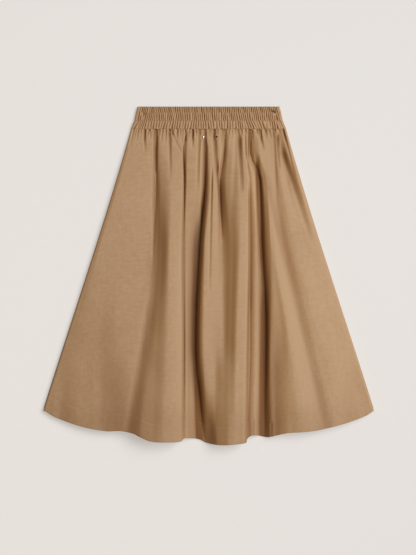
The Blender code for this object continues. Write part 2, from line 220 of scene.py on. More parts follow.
# Folds of the front panel. Each line runs from the waist seam to the hem. across_mm and
# lift_mm hold its place from the centre line and its height at the STATIONS, hem_drop_mm is
# how far it reaches past the hem's arc, and keen is the share of the way down to which the line
# is a crease and not a swell.
STATIONS = (0.0, 0.07, 0.17, 0.38, 0.68, 1.0)
Line = namedtuple("Line", "name across_mm lift_mm hem_drop_mm keen")
FOLD_LINES = (
    Line("left edge swell", (-172, -187, -206.5, -248.5, -304, -357.5), (4.2, 6.5, 8.5, 9.5, 11, 11.5), 7, 0),
    Line("left wing, low", (-158, -168, -189.5, -225.5, -255.5, -291.5), (4.2, 7, 8.5, 9.5, 17, 20), 10.7, 0),
    Line("wing's step", (-144, -152, -164.5, -197.5, -217.5, -241.5), (4.2, 7.5, 8, 9.3, 22.5, 26), 8.3, 0),
    Line("fold A, foot", (-127, -129, -130, -143, -175.5, -199.5), (4.2, 8, 5, 9.5, 24.5, 28.5), 1.1, 0),
    Line("fold A, dip", (-120, -124.5, -123, -129.5, -153, -178.5), (0.6, 0.6, 2.5, 11, 25.5, 30), 2.6, 0.3),
    Line("fold A, wall", (-116, -117, -118, -121, -141, -157), (4, 6.5, 8, 16, 28.5, 37), 9.1, 0),
    Line("fold A, flank", (-110, -109, -112, -111, -124, -131.5), (4.2, 8, 12, 24.5, 35.5, 42), 14.8, 0),
    Line("fold A, crest", (-94, -95, -85.5, -90, -96, -106), (4.2, 8.5, 18.5, 40, 45, 47), 13.2, 0),
    Line("fold A, edge", (-54, -61, -62, -64, -62, -62), (4.2, 9, 18, 37, 37.5, 36), 7.6, 0),
    Line("fold A, crease", (-49.5, -60, -57.5, -59, -57.5, -59), (3.5, 2.5, 6.2, 9.3, 9.5, 14.5), 6, 1),
    Line("fold A, strip", (-43, -49.5, -51, -54.3, -53, -54), (4.2, 8, 12, 11, 12, 15), 3, 0),
    Line("fold A, fall", (-26, -23, -19.5, -38, -43, -38), (4.2, 9, 13.5, 5.5, 5, 5), 3.7, 0),
    Line("left valley", (-12, -6.5, -8, -20.5, -30, -19.5), (0.8, 1, 1, 1, 1, 1), 7, 1),
    Line("fold B, lip", (-8, 0, -1.2, -14.5, -21.5, -8), (3.5, 8.3, 13.3, 23, 23, 2), 13.2, 0),
    Line("fold B, crest", (3, 7, 5.5, -8, -12, 6), (4.2, 9, 16, 28, 28, 10), 16.4, 0),
    Line("fold B, fall", (25, 28.5, 21, 19, 17.5, 20), (4.2, 9, 15, 25.5, 23, 26), 16.9, 0),
    Line("fold C, foot", (41, 36, 26.5, 31, 33, 32), (2, 3.2, 3.2, 18.5, 23.5, 30), 17.1, 0),
    Line("fold C, flank", (50, 46, 41, 54, 49.5, 48), (4.2, 9, 13.5, 31, 31.5, 36.5), 16.7, 0),
    Line("fold C, crest", (62, 60, 78.5, 73.5, 66, 64), (4.2, 10.5, 22.5, 41, 40, 38.3), 15.9, 0),
    Line("fold C, edge", (80, 83, 91.5, 92.5, 89, 88), (4.2, 10, 23, 39, 38, 35.5), 13.5, 0),
    Line("fold C, crease", (85, 87, 95.5, 98.5, 97, 91), (2.4, 8, 19, 6.5, 9.5, 14), 7.5, 1),
    Line("fold C, strip", (92, 90, 103.5, 110, 109, 105), (4.2, 10, 20.5, 11.5, 14, 17), -0.4, 0),
    Line("right valley", (100, 97.5, 121, 126.5, 134, 122), (0.8, 1, 1, 1, 1, 0), 3.7, 1),
    Line("fold D, wall", (106, 105, 126, 132.5, 141.5, 137), (4.2, 5, 10.5, 14, 18, 6), 8.3, 0),
    Line("fold D, shelf", (112, 113, 131, 141, 153, 150), (4.2, 8.5, 13.5, 20.7, 23.5, 19), 6.9, 0),
    Line("fold D, flank", (118, 119, 137.5, 146.5, 171, 186), (4.2, 10, 16, 22.7, 25.3, 25.5), 3.2, 0),
    Line("fold D, crest", (130, 133, 144.5, 152.5, 187, 219), (4.2, 10.5, 16.5, 23, 28.3, 30), 6.2, 0),
    Line("fold D, fall", (144, 149, 156.5, 175, 219, 262.5), (4.2, 9.5, 15, 18, 22, 27), 9.4, 0),
    Line("right wing", (156, 161, 168.5, 200, 255, 321.5), (4.2, 9.5, 16.5, 20.5, 24, 23.5), 8.8, 0),
    Line("right edge trough", (163, 171, 184.5, 226, 292, 350.5), (2.6, 6, 12.3, 20, 21.5, 19.5), 7, 0),
    Line("right edge swell", (175, 186, 208, 243, 308, 370.5), (4.2, 10, 18.5, 20, 20.5, 16), 5.1, 0),
)
LEFT_EDGE_LIFT_MM = (4.2, 5.8, 7.4, 8, 7.5, 7)
RIGHT_EDGE_LIFT_MM = (4.2, 8.5, 18, 18.5, 19.5, 16)
CREASE_FADE = 0.2               # share of the way down over which a crease turns to a swell
# Rows of the panel between two shares of the way down
ROW_BANDS = ((0.0, 0.016, 9), (0.016, 0.08, 24), (0.08, 0.25, 30), (0.25, 0.9, 36),
             (0.9, 0.936, 8), (0.936, 0.951, 10), (0.951, 1.0, 12))

# Short tucks in the front panel: where they start and end across and down, how deep they are
# and how wide on each side. One of negative depth is a swell.
# Each tuck also takes painted shade, by how deep it is.
Tuck = namedtuple("Tuck", "across_mm end_mm from_mm to_mm depth_mm half_width_mm")
TUCKS = (
    Tuck(-177, -186, 0, 45, 2.0, 5),
    Tuck(-152, -150, 0, 60, 3.0, 5),
    Tuck(-139, -137, 0, 22, 2.8, 3.5),
    Tuck(-92.5, -90.5, 0, 120, 4.3, 5),
    Tuck(-73, -74, 0, 26, 3.0, 3.5),
    Tuck(-38, -38, 0, 48, 5.0, 4),
    Tuck(-21, -28, 0, 150, 4.2, 5.5),
    Tuck(0, 1, 0, 22, 3.2, 3.5),
    Tuck(12.5, 18, 0, 150, 5.0, 7),
    Tuck(18, 31, 62, 260, 4.5, 5.5),
    Tuck(32, 31, 0, 56, 3.6, 4),
    Tuck(71.5, 76.5, 4, 150, 4.8, 7),
    Tuck(68, 52, 0, 260, 2.3, 11),
    Tuck(118, 129, 0, 54, 4.4, 5),
    Tuck(134, 136, 0, 22, 3.0, 4),
    Tuck(153, 160, 0, 200, 2.4, 6),
    Tuck(160, 166, 4, 95, 4.2, 5),
    Tuck(164, 240, 20, 260, 3.4, 12),
    Tuck(171, 190, 40, 150, 1.6, 8),
    Tuck(148, 178, 0, 400, 1.2, 45),
    Tuck(126, 323, 80, 900, 2.3, 17),
    Tuck(250, 300, 480, 1200, 1.2, 40),
    Tuck(155, 169, 380, 1400, 3.7, 25),
    Tuck(175, 203, 0, 115, 4.6, 4.5),
    Tuck(8.5, 1, 70, 385, 3.6, 3.4),
    Tuck(133, 116, 250, 1400, 8.0, 13.5),
    Tuck(-24, -3, 520, 1250, 5.0, 11),
    Tuck(-32, -21, 545, 900, 6.4, 13),
    Tuck(36, 36, 500, 900, -4.5, 30),
    Tuck(-4, 4, 600, 1300, 1.8, 15),
    Tuck(-124, -262, 330, 1200, 2.8, 22),
    Tuck(-238, -238, 430, 1400, 2.2, 44),
    Tuck(-205, -175, 520, 1200, 1.8, 60),
    Tuck(-335, -365, 520, 1200, 1.8, 30),
    Tuck(330, 350, 500, 1200, 1.4, 60),
    Tuck(-90, -62, 0, 62, 2.4, 4),
    Tuck(-122.5, -125, 0, 110, 6.0, 3.6),
    Tuck(-54, -60, 0, 150, 1.2, 4.5),
    Tuck(-127.5, -131.5, 0, 330, 3.6, 5.5),
    Tuck(-9, -19, 0, 330, 4.2, 5),
    Tuck(38, 35, 0, 80, 3.6, 4),
    Tuck(96, 93, 0, 90, 8.0, 5.5),
    Tuck(94, 94, 110, 420, 3.0, 5.5),
    Tuck(95, 80, 280, 1100, 3.1, 6.5),
    Tuck(111.5, 121.5, 48, 330, 6.5, 8),
    Tuck(122.5, 118, 200, 1400, 3.4, 8),
    Tuck(97, 97, 678, 775, 2.2, 3.6),
    Tuck(105.5, 105, 672, 775, 2.2, 3.6),
    Tuck(125, 126, 676, 775, 2.0, 3.6),
    Tuck(147, 147, 680, 775, 2.0, 3.6),
)
TUCK_SIDES = (0.75, 1.2)        # shares of its half width on the left and on the right: the
                                # cloth leans to the right, so a tuck is steeper on its left
TUCK_FADE = 0.8
TUCK_SET_IN = 0.2
# Small gathers between the tucks, each drawn by chance between two sizes
GATHER_SEED = 21
GATHER_ENDS_MM = (-176.0, 174)
GATHER_STEP_MM = (5.5, 10.5)
GATHER_SPREAD = 1.03
GATHER_LEAN_MM = (-3, 3)
GATHER_LENGTH_MM = (12, 38)
GATHER_DEPTH_MM = (1.2, 3.2)
GATHER_HALF_WIDTH_MM = (2.2, 3.4)

# Waves drawn by chance: how many are added up, and how far each one's length may differ
WANDER_WAVES = 5
WANDER_STRETCH = (0.6, 1.7)
RUMPLE_WAVES = 9
RUMPLE_STRETCH = (0.6, 1.8)
CHANCE_TURN = (0, 6.28)         # an angle, in radians


def hexed(colour):
    """Turn an sRGB hex colour to linear values."""
    linear = []
    for start in (1, 3, 5):
        value = int(colour[start:start + 2], 16) / 255
        linear.append(value / 12.92 if value <= 0.04045 else ((value + 0.055) / 1.055) ** 2.4)
    return tuple(linear)


# ---------------------------------------------------------------- curves and noise

def ease(share):
    """Go from 0 to 1, level at both ends."""
    share = np.clip(share, 0.0, 1.0)
    return share * share * (3 - 2 * share)


def tame_slopes(places, heights, keen=None):
    """Return the slopes before and after each point of a curve that never swings past them."""
    steep = np.diff(heights, axis=-1) / np.diff(places, axis=-1)
    run = np.diff(places, axis=-1)
    before, after = steep[..., :-1], steep[..., 1:]
    heavy_before = 2 * run[..., 1:] + run[..., :-1]
    heavy_after = run[..., 1:] + 2 * run[..., :-1]
    same = before * after > 0
    safe_before = np.where(same, before, 1.0)
    safe_after = np.where(same, after, 1.0)
    mean = (heavy_before + heavy_after) / (heavy_before / safe_before + heavy_after / safe_after)
    inner = np.where(same, mean, 0.0)
    slopes = np.concatenate([steep[..., :1], inner, steep[..., -1:]], axis=-1)
    arriving, leaving = slopes.copy(), slopes.copy()
    for index, keenness in (keen or {}).items():
        arriving[..., index] += keenness * (steep[..., index - 1] - arriving[..., index])
        leaving[..., index] += keenness * (steep[..., index] - leaving[..., index])
    return arriving, leaving


def span_curve(places, heights, slopes, span, share):
    """Read a curve at a share of the way along one of its spans."""
    arriving, leaving = slopes
    run = places[..., span + 1] - places[..., span]
    t, t2, t3 = share, share ** 2, share ** 3
    return (
        heights[..., span] * (2 * t3 - 3 * t2 + 1)
        + heights[..., span + 1] * (3 * t2 - 2 * t3)
        + leaving[..., span] * run * (t3 - 2 * t2 + t)
        + arriving[..., span + 1] * run * (t3 - t2)
    )


def along(values, downs):
    """Read one row of the fold table at many shares of the way down."""
    places = np.array(STATIONS)
    heights = np.array(values, float)
    slopes = tame_slopes(places, heights)
    read = np.zeros(len(downs))
    for index, down in enumerate(downs):
        span = int(np.clip(np.searchsorted(places, down, side="right") - 1, 0, len(places) - 2))
        share = (down - places[span]) / (places[span + 1] - places[span])
        read[index] = span_curve(places, heights, slopes, span, share)
    return read


def wander(values, wavelength, seed):
    """Return a smooth uneven wave between about -1 and 1."""
    chance = np.random.RandomState(seed)
    total = np.zeros(np.shape(values))
    for _ in range(WANDER_WAVES):
        stretch = chance.uniform(*WANDER_STRETCH)
        phase = chance.uniform(*CHANCE_TURN)
        total = total + np.sin(2 * np.pi * values / (wavelength * stretch) + phase)
    return total / math.sqrt(WANDER_WAVES * 2)


def rumple(x, y, wavelength, seed):
    """Return a smooth uneven relief between about -1 and 1."""
    chance = np.random.RandomState(seed)
    total = np.zeros(np.shape(x))
    for _ in range(RUMPLE_WAVES):
        turn = chance.uniform(*CHANCE_TURN)
        stretch = wavelength * chance.uniform(*RUMPLE_STRETCH)
        phase = chance.uniform(*CHANCE_TURN)
        total = total + np.sin(2 * np.pi * (x * math.cos(turn) + y * math.sin(turn)) / stretch + phase)
    return total / math.sqrt(RUMPLE_WAVES * 2)


# ---------------------------------------------------------------- the skirt's outline

def half_width(sizes, depth):
    """Half the skirt's width at a depth below the waist seam."""
    share = np.minimum(1.0, depth / CORNER_DEPTH)
    dip = SIDE_DIP * share * (1 - share) ** 2 / (SIDE_DIP_AT * (1 - SIDE_DIP_AT) ** 2)
    return sizes.seam_half_width + (sizes.hem_half_width - sizes.seam_half_width) * share - dip


def arc_depth(sizes, across):
    """Depth of the hem's arc below the waist seam at a place across the skirt."""
    half = sizes.hem_half_width
    radius = (half ** 2 + HEM_ARC_SAG ** 2) / (2 * HEM_ARC_SAG)
    rise = radius - np.sqrt(radius ** 2 - np.minimum(np.abs(across), half) ** 2)
    return CORNER_DEPTH + HEM_ARC_SAG - rise


def seam_y(sizes):
    """Place of the waist seam along the skirt."""
    return sizes.skirt_length / 2 - sizes.band_height


def panel_rows():
    """List the rows of a panel as shares of the way down."""
    rows = [0.0]
    for start, end, count in ROW_BANDS:
        rows += [start + (end - start) * (step + 1) / count for step in range(count)]
    return np.array(rows)


def fold_grid(sizes, downs, hem_column, waist_column, edge_inset):
    """Return across, lift and hem drop of a panel, a row for each share of the way down."""
    rows = len(downs)
    reach = half_width(sizes, downs * CORNER_DEPTH) - edge_inset
    across = [-reach] + [along(line.across_mm, downs) * MM for line in FOLD_LINES] + [reach]
    lift = [along(LEFT_EDGE_LIFT_MM, downs) * MM]
    lift += [along(line.lift_mm, downs) * MM for line in FOLD_LINES]
    lift += [along(RIGHT_EDGE_LIFT_MM, downs) * MM]
    drop = np.array([0.0] + [line.hem_drop_mm * MM for line in FOLD_LINES] + [0.0])
    across, lift = np.stack(across, axis=1), np.stack(lift, axis=1)

    steps = np.hypot(np.diff(across, axis=1), np.diff(lift, axis=1))
    places = np.concatenate([np.zeros((rows, 1)), np.cumsum(steps, axis=1)], axis=1)
    keen = {
        index + 1: ease((line.keen + CREASE_FADE - downs) / CREASE_FADE)
        for index, line in enumerate(FOLD_LINES) if line.keen
    }
    across_slopes = tame_slopes(places, across)
    lift_slopes = tame_slopes(places, lift, keen)
    drop_places = across[-1]
    drop_slopes = tame_slopes(drop_places, drop)

    columns = [[], [], []]
    last = across.shape[1] - 2
    near_waist = np.abs(downs - STATIONS[1]).argmin()
    for span in range(last + 1):
        longest = steps[:, span].max()
        count = max(2, round(longest / hem_column), round(steps[near_waist, span] / waist_column))
        shares = [step / count for step in range(count)] + ([1.0] if span == last else [])
        for share in shares:
            columns[0].append(span_curve(places, across, across_slopes, span, share))
            columns[1].append(span_curve(places, lift, lift_slopes, span, share))
            columns[2].append(span_curve(drop_places, drop, drop_slopes, span, share))
    return np.stack(columns[0], 1), np.stack(columns[1], 1), np.array(columns[2])


def small_gathers():
    """List the small gathers along the waist seam, which are drawn by chance."""
    chance = np.random.RandomState(GATHER_SEED)
    gathers = []
    across, right_end = GATHER_ENDS_MM
    while across < right_end:
        across += chance.uniform(*GATHER_STEP_MM)
        gathers.append(Tuck(
            across_mm=across,
            end_mm=across * GATHER_SPREAD + chance.uniform(*GATHER_LEAN_MM),
            from_mm=0,
            to_mm=chance.uniform(*GATHER_LENGTH_MM),
            depth_mm=chance.uniform(*GATHER_DEPTH_MM),
            half_width_mm=chance.uniform(*GATHER_HALF_WIDTH_MM),
        ))
    return tuple(gathers)


def tuck_depths(across, depth):
    """Return how deep the tucks and small gathers are at each point."""
    total = np.zeros(across.shape)
    left, right = TUCK_SIDES
    for tuck in TUCKS + small_gathers():
        share = (depth / MM - tuck.from_mm) / (tuck.to_mm - tuck.from_mm)
        middle = (tuck.across_mm + (tuck.end_mm - tuck.across_mm) * share) * MM
        off = (across - middle) / (tuck.half_width_mm * MM)
        off = np.clip(np.where(off < 0, off / left, off / right), -1, 1)
        fade = np.clip(1 - share, 0, 1) ** TUCK_FADE
        if tuck.from_mm > 0:
            # One that starts below the seam sets in softly, and keeps its depth for longer.
            fade = fade ** 0.5 * ease(share / TUCK_SET_IN)
        total += tuck.depth_mm * MM * fade * (1 - off ** 2) ** 2
    return total


def with_hem_relief(lift, across, downs, room):
    """Lift the doubled hem a little, and pull it in and pucker it at its stitches."""
    below = downs[:, None] - HEM_STITCH
    pulled = STITCH_PULL * np.exp(-(below / STITCH_PULL_RUN) ** 2) * room
    lift = lift + HEM_LAYER * ease(below / HEM_LAYER_RUN) - pulled
    most = 0.5 + np.exp(-((across - PUCKER_MOST_AT) / PUCKER_MOST_WIDTH) ** 2)
    pucker = PUCKER_HEIGHT * most * wander(across, PUCKER_LENGTH, PUCKER_SEED)
    return lift + pucker * ease((below + PUCKER_ABOVE) / PUCKER_RUN) * room


def level_at_studs(across, y, z):
    """Return the cloth's heights, level with the base of each stud round it."""
    for name in ("stud_left", "stud_right"):
        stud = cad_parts[name]
        corners = np.array([stud.matrix_world @ Vector(corner) for corner in stud.bound_box])
        middle = corners.mean(axis=0)
        far = np.hypot(across - middle[0], y - middle[1])
        under = 1 - ease((far - STUD_LEVEL_REACH) / STUD_LEVEL_RUN)
        z = z + (corners[:, 2].min() - STUD_CLEARANCE - z) * under
    return z


def front_grid(sizes):
    """Return the points of the front's outer face, rows from waist to hem.

    Each point's depth below the waist seam and its painted shade as part of a tuck, from 0 to 1, follow.
    """
    downs = panel_rows()
    across, lift, drop = fold_grid(sizes, downs, HEM_COLUMN, WAIST_COLUMN, EDGE_RADIUS)
    length = arc_depth(sizes, across[-1]) + drop
    depth = SEAM_GAP / 2 + downs[:, None] * (length - SEAM_GAP / 2)
    y = seam_y(sizes) - depth
    room = ease((half_width(sizes, depth) - np.abs(across)) / SIDE_ROOM)
    tucks = tuck_depths(across, depth) * room
    lift = np.maximum(lift - tucks, LEAST_LIFT)
    lift = SEAM_LIFT + (lift - SEAM_LIFT) * ease(depth / SEAM_LIFT_RUN)
    rumples = RUMPLE_HEIGHT * rumple(across, y, RUMPLE_LENGTH, RUMPLE_SEED)
    lift = lift + rumples * ease(depth / RUMPLE_RUN) * room
    lift = with_hem_relief(lift, across, downs, room)
    z = level_at_studs(across, y, FRONT_BASE + lift * sizes.fold_height)
    # A tuck's painted shade, by how deep it is
    gathered = np.clip(tucks / TUCK_FULL_SHADE_DEPTH, 0, 1) ** TUCK_SHADE_CURVE
    return np.stack([across, y, z], axis=-1), depth, gathered


def curled(points, seam_height, radius):
    """Add the turned-down sides to a grid of points that runs from left to right."""
    sides = []
    for side, column in ((-1, 0), (1, -1)):
        edge = points[:, column]
        direction = np.sign(edge[:, 2] - seam_height)
        stand = seam_height + direction * (SEAM_GAP / 2 + SIDE_STAND)
        turned = []
        base = edge.copy()
        base[:, 0] += side * radius
        base[:, 2] = seam_height + direction * SEAM_GAP / 2
        turned.append(base)
        for step in range(CURL_FACES):
            angle = math.pi / 2 * step / CURL_FACES
            point = edge.copy()
            point[:, 0] += side * radius * math.cos(angle)
            point[:, 2] = stand + (edge[:, 2] - stand) * math.sin(angle)
            turned.append(point)
        sides.append(np.stack(turned, axis=1))
    return np.concatenate([sides[0], points, sides[1][:, ::-1]], axis=1)


def beside_curls(values, mode):
    """Widen a grid of values to match a grid of points that has been curled."""
    added = CURL_FACES + 1
    return np.pad(values, [(0, 0), (added, added)], mode=mode)


def grid_normals(points):
    """Return the unit normals of a grid of points: upward where its rows run down the skirt."""
    along_row = np.gradient(points, axis=1)
    down_column = np.gradient(points, axis=0)
    normals = np.cross(down_column, along_row)
    return normals / np.maximum(np.linalg.norm(normals, axis=-1, keepdims=True), 1e-12)


def turned_hem(sizes, points):
    """Add the hem: the cloth turns round its edge and runs back up the inside."""
    normals = grid_normals(points)
    radius = HEM_EDGE_RADIUS
    edge, normal = points[-1], normals[-1]
    forward = edge - points[-2]
    forward /= np.linalg.norm(forward, axis=-1, keepdims=True)
    rows = []
    for step in range(1, HEM_TURN_FACES + 1):
        angle = math.pi * step / HEM_TURN_FACES
        rows.append(edge + forward * radius * math.sin(angle) - normal * radius * (1 - math.cos(angle)))
    climb = np.linalg.norm(points[-1] - points[::-1], axis=-1).mean(axis=1)
    picked = [i for i, far in enumerate(climb) if 0 < far < sizes.hem_turn_up][::HEM_INSIDE_STEP]
    for index in picked:
        rows.append(points[-1 - index] - normals[-1 - index] * radius * 2)
    return np.concatenate([points, np.stack(rows)], axis=0)


# ---------------------------------------------------------------- making pieces

def new_object(name, mesh, material):
    """Make an object of a mesh and a material, and put it in the scene."""
    mesh.materials.append(material)
    piece = bpy.data.objects.new(name, mesh)
    bpy.context.scene.collection.objects.link(piece)
    return piece


def cloth_sheet(name, points, material, wall, grain, crease, flip=False):
    """Make a sheet from a grid of points, with its thread directions, its painted crease shade and its slope
    to the soft light.
    """
    rows, columns = points.shape[:2]
    mesh = bpy.data.meshes.new(name)
    sheet = bmesh.new()
    verts = [sheet.verts.new(point) for point in points.reshape(-1, 3)]
    sheet.verts.index_update()
    for row in range(rows - 1):
        for column in range(columns - 1):
            a = row * columns + column
            corners = (verts[a], verts[a + columns], verts[a + columns + 1], verts[a + 1])
            sheet.faces.new(tuple(reversed(corners)) if flip else corners)
    sheet.to_mesh(mesh)
    sheet.free()
    mesh.shade_smooth()
    threads = mesh.uv_layers.new(name="threads")
    flat = grain.reshape(-1, 2)
    loops = np.zeros(len(mesh.loops), np.int32)
    mesh.loops.foreach_get("vertex_index", loops)
    threads.data.foreach_set("uv", flat[loops].astype(np.float32).ravel())
    # painted crease shade, and the slope to the soft light that drives painted shade
    for label, values in (("crease", crease), ("light_slope", slope_from_light(points))):
        held = mesh.attributes.new(label, "FLOAT", "POINT")
        held.data.foreach_set("value", values.astype(np.float32).ravel())
    piece = new_object(name, mesh, material)
    solid = piece.modifiers.new("cloth wall", "SOLIDIFY")
    solid.thickness = wall
    solid.offset = -1.0
    solid.use_even_offset = False
    return piece


def slope_from_light(points):
    """Return how far the cloth slopes away from the soft light (to 1) or towards it (to -1), for painted
    shade.
    """
    normals = grid_normals(points)
    slope = -(normals[..., 0] * SHADE_LIGHT_WAY[0] + normals[..., 1] * SHADE_LIGHT_WAY[1]) * np.sign(normals[..., 2])
    return np.clip(slope / SHADE_FULL_SLOPE, -1, 1)


def hollow_shade(points, reach, steepest):
    """Return the painted shade of each point deep in a narrow fold: its less steep side, from 0 to 1."""
    x, z = points[..., 0], points[..., 2]
    depth = np.zeros(z.shape)
    for row in range(len(z)):
        run = x[row][None, :] - x[row][:, None]
        rise = z[row][None, :] - z[row][:, None]
        steep = rise / np.maximum(np.abs(run), NARROWEST_RUN)
        near = np.abs(run) < reach
        left = np.where(near & (run < 0), steep, 0).max(axis=1)
        right = np.where(near & (run > 0), steep, 0).max(axis=1)
        depth[row] = np.minimum(left, right)
    return np.clip(depth / steepest, 0, 1) ** HOLLOW_SHADE_CURVE


def front_fold_shade(points, depth, gathered):
    """Return how much painted shade each point of the front takes as the inside of a crease, from 0 to 1."""
    near_waist = 1 + WAIST_SHADE * np.exp(-depth / WAIST_SHADE_RUN)
    # Darker towards the hem, in the painted fold-shade colour
    near_hem = HEM_DARKENING * ease((depth / depth.max() - HEM_DARKENING_FROM) / HEM_DARKENING_RUN)
    crease = np.maximum(hollow_shade(points, FOLD_REACH, FOLD_STEEPNESS) * near_waist, gathered)
    return np.clip(crease + near_hem, 0, 1)


def sector_grain(points, depth):
    """Return each point's place on the flat cut, a sector of a circle, in metres."""
    steps = np.linalg.norm(np.diff(points, axis=1), axis=-1)
    far = np.concatenate([np.zeros((len(points), 1)), np.cumsum(steps, axis=1)], axis=1)
    share = 2 * far[-1] / far[-1, -1] - 1
    turn = share * PANEL_HALF_ANGLE
    radius = PANEL_APEX + depth
    return np.stack([radius * np.sin(turn), -radius * np.cos(turn)], axis=-1)


# ---------------------------------------------------------------- materials

def add_node(owner, kind, settings=None, links=None):
    """Add a node to a material or world, set its properties and inputs, and link others into it."""
    tree = owner.node_tree
    node = tree.nodes.new(kind)
    for key, value in (settings or {}).items():
        if isinstance(key, int) or key in node.inputs:
            node.inputs[key].default_value = value
        else:
            setattr(node, key, value)
    for key, source in (links or {}).items():
        tree.links.new(source, node.inputs[key])
    return node


def bare_material(name):
    """Make a material with no nodes in it."""
    material = bpy.data.materials.new(name)
    material.use_nodes = True
    material.node_tree.nodes.clear()
    return material


def finish_material(material, shader):
    """Link a material's shader to its output."""
    add_node(material, "ShaderNodeOutputMaterial", links={"Surface": shader.outputs["BSDF"]})
    return material


# Sizes of the patterns in the materials
STREAK_WIDTH = 0.0055           # warp threads run a little uneven: faint streaks down the cloth
STREAK_SHAPE = (1.0, 0.22, 1.0)
SLUB_LENGTH = 0.006             # and so do the weft threads, in short slubs across it
SLUB_SHAPE = (0.5, 1.0, 1.0)
DYE_CLOUD = 0.09
TWILL_LINE = 0.0019             # really about 0.6 mm: it is drawn coarser, so that it shows
TWILL_STEEPNESS = math.radians(63)
THREAD_PLY = 0.0006
TACK_PLY = 0.0005
HAIRLINE = 0.0005
SAND_GRIT = 0.012               # really far finer: it is drawn coarser, so that it shows

WAVE_PERIOD = 2 * math.pi / 20  # of Blender's wave texture at scale 1
# Sockets of Blender's mix node where it mixes colours
SHARE = 0
FIRST = 6
SECOND = 7
MIXED = 2


def gabardine_threads(cloth, place):
    """Add the uneven warp and weft threads. Returns the node that joins them."""
    lengthwise = add_node(cloth, "ShaderNodeMapping", {"Scale": STREAK_SHAPE}, {"Vector": place})
    streaks = add_node(
        cloth, "ShaderNodeTexNoise", {"Scale": 1 / STREAK_WIDTH, "Detail": 3.0, "Roughness": 0.6},
        {"Vector": lengthwise.outputs["Vector"]})
    crosswise = add_node(cloth, "ShaderNodeMapping", {"Scale": SLUB_SHAPE}, {"Vector": place})
    slubs = add_node(
        cloth, "ShaderNodeTexNoise", {"Scale": 1 / SLUB_LENGTH, "Detail": 2.0, "Roughness": 0.5},
        {"Vector": crosswise.outputs["Vector"]})
    return add_node(
        cloth, "ShaderNodeMath", {"operation": "ADD"},
        {0: streaks.outputs["Fac"], 1: slubs.outputs["Fac"]})


def gabardine_dye(cloth, colours, place, threads):
    """Add the dyed colour, a little cloudy and lighter in some threads. Returns its node."""
    cloudy = add_node(
        cloth, "ShaderNodeTexNoise", {"Scale": 1 / DYE_CLOUD, "Detail": 2.0}, {"Vector": place})
    mixed = add_node(
        cloth, "ShaderNodeMath", {"operation": "MULTIPLY_ADD", 1: 0.4},
        {0: cloudy.outputs["Fac"], 2: threads.outputs[0]})
    shade = add_node(
        cloth, "ShaderNodeMapRange",
        {"From Min": 0.85, "From Max": 1.55, "To Min": 0.0, "To Max": 1.0}, {"Value": mixed.outputs[0]})
    return add_node(
        cloth, "ShaderNodeMix",
        {"data_type": "RGBA", FIRST: (*colours.cloth_dark, 1), SECOND: (*colours.cloth_light, 1)},
        {SHARE: shade.outputs[0]})


def gabardine_painted_shade(cloth, colours, dyed):
    """Paint shade into the dyed colour, by the cloth's slope to the soft light and in its creases. Returns
    the last node.
    """
    # Painted shade by slope: where the cloth slopes away from the soft light it is painted deeper, and where
    # it slopes towards it, painted duller.
    slope_shade = add_node(cloth, "ShaderNodeAttribute", {"attribute_name": "light_slope"})
    against = add_node(
        cloth, "ShaderNodeMix", {"data_type": "RGBA", SECOND: (*colours.cloth_slope_shade, 1)},
        {SHARE: slope_shade.outputs["Fac"], FIRST: dyed.outputs[MIXED]})
    towards_light = add_node(
        cloth, "ShaderNodeMath", {"operation": "MULTIPLY", 1: -1.0}, {0: slope_shade.outputs["Fac"]})
    slope_shaded = add_node(
        cloth, "ShaderNodeMix", {"data_type": "RGBA", SECOND: (*colours.cloth_slope_lit, 1)},
        {SHARE: towards_light.outputs[0], FIRST: against.outputs[MIXED]})
    # Painted shade in folds: they are painted darker and deeper in colour.
    shade_mask = add_node(cloth, "ShaderNodeAttribute", {"attribute_name": "crease"})
    deep = add_node(
        cloth, "ShaderNodeMath", {"operation": "MULTIPLY", 1: 0.9}, {0: shade_mask.outputs["Fac"]})
    return add_node(
        cloth, "ShaderNodeMix", {"data_type": "RGBA", SECOND: (*colours.cloth_fold_shade, 1)},
        {SHARE: deep.outputs[0], FIRST: slope_shaded.outputs[MIXED]})


def gabardine_twill(cloth, place, threads):
    """Add the relief of the steep twill lines and the threads. Returns its bump node."""
    turned = add_node(
        cloth, "ShaderNodeMapping", {"Rotation": (0, 0, TWILL_STEEPNESS)}, {"Vector": place})
    twill = add_node(
        cloth, "ShaderNodeTexWave",
        {"wave_type": "BANDS", "bands_direction": "X", "Scale": WAVE_PERIOD / TWILL_LINE,
         "Distortion": 0.6, "Detail": 1.0},
        {"Vector": turned.outputs["Vector"]})
    relief = add_node(
        cloth, "ShaderNodeMath", {"operation": "MULTIPLY_ADD", 1: 0.5},
        {0: twill.outputs["Fac"], 2: threads.outputs[0]})
    return add_node(
        cloth, "ShaderNodeBump", {"Strength": 0.35, "Distance": 0.0004}, {"Height": relief.outputs[0]})


def cotton_gabardine(colours):
    """Piece-dyed cotton gabardine: a steep twill, smooth, with a soft low sheen."""
    found = bpy.data.materials.get("cotton_gabardine")
    if found:
        return found
    cloth = bare_material("cotton_gabardine")
    place = add_node(cloth, "ShaderNodeUVMap", {"uv_map": "threads"}).outputs["UV"]
    threads = gabardine_threads(cloth, place)
    # Its colour carries painted shade in creases and by the cloth's slope to the soft light.
    colour = gabardine_painted_shade(cloth, colours, gabardine_dye(cloth, colours, place, threads))
    twill = gabardine_twill(cloth, place, threads)
    dull = add_node(
        cloth, "ShaderNodeMapRange",
        {"From Min": 0.6, "From Max": 1.4, "To Min": 0.62, "To Max": 0.74}, {"Value": threads.outputs[0]})
    shader = add_node(
        cloth, "ShaderNodeBsdfPrincipled",
        {"IOR": 1.47, "Specular IOR Level": 0.35, "Sheen Weight": 0.12, "Sheen Roughness": 0.35,
         "Sheen Tint": (1.0, 0.93, 0.84, 1.0)},
        {"Base Color": colour.outputs[MIXED], "Roughness": dull.outputs[0],
         "Normal": twill.outputs["Normal"]})
    return finish_material(cloth, shader)


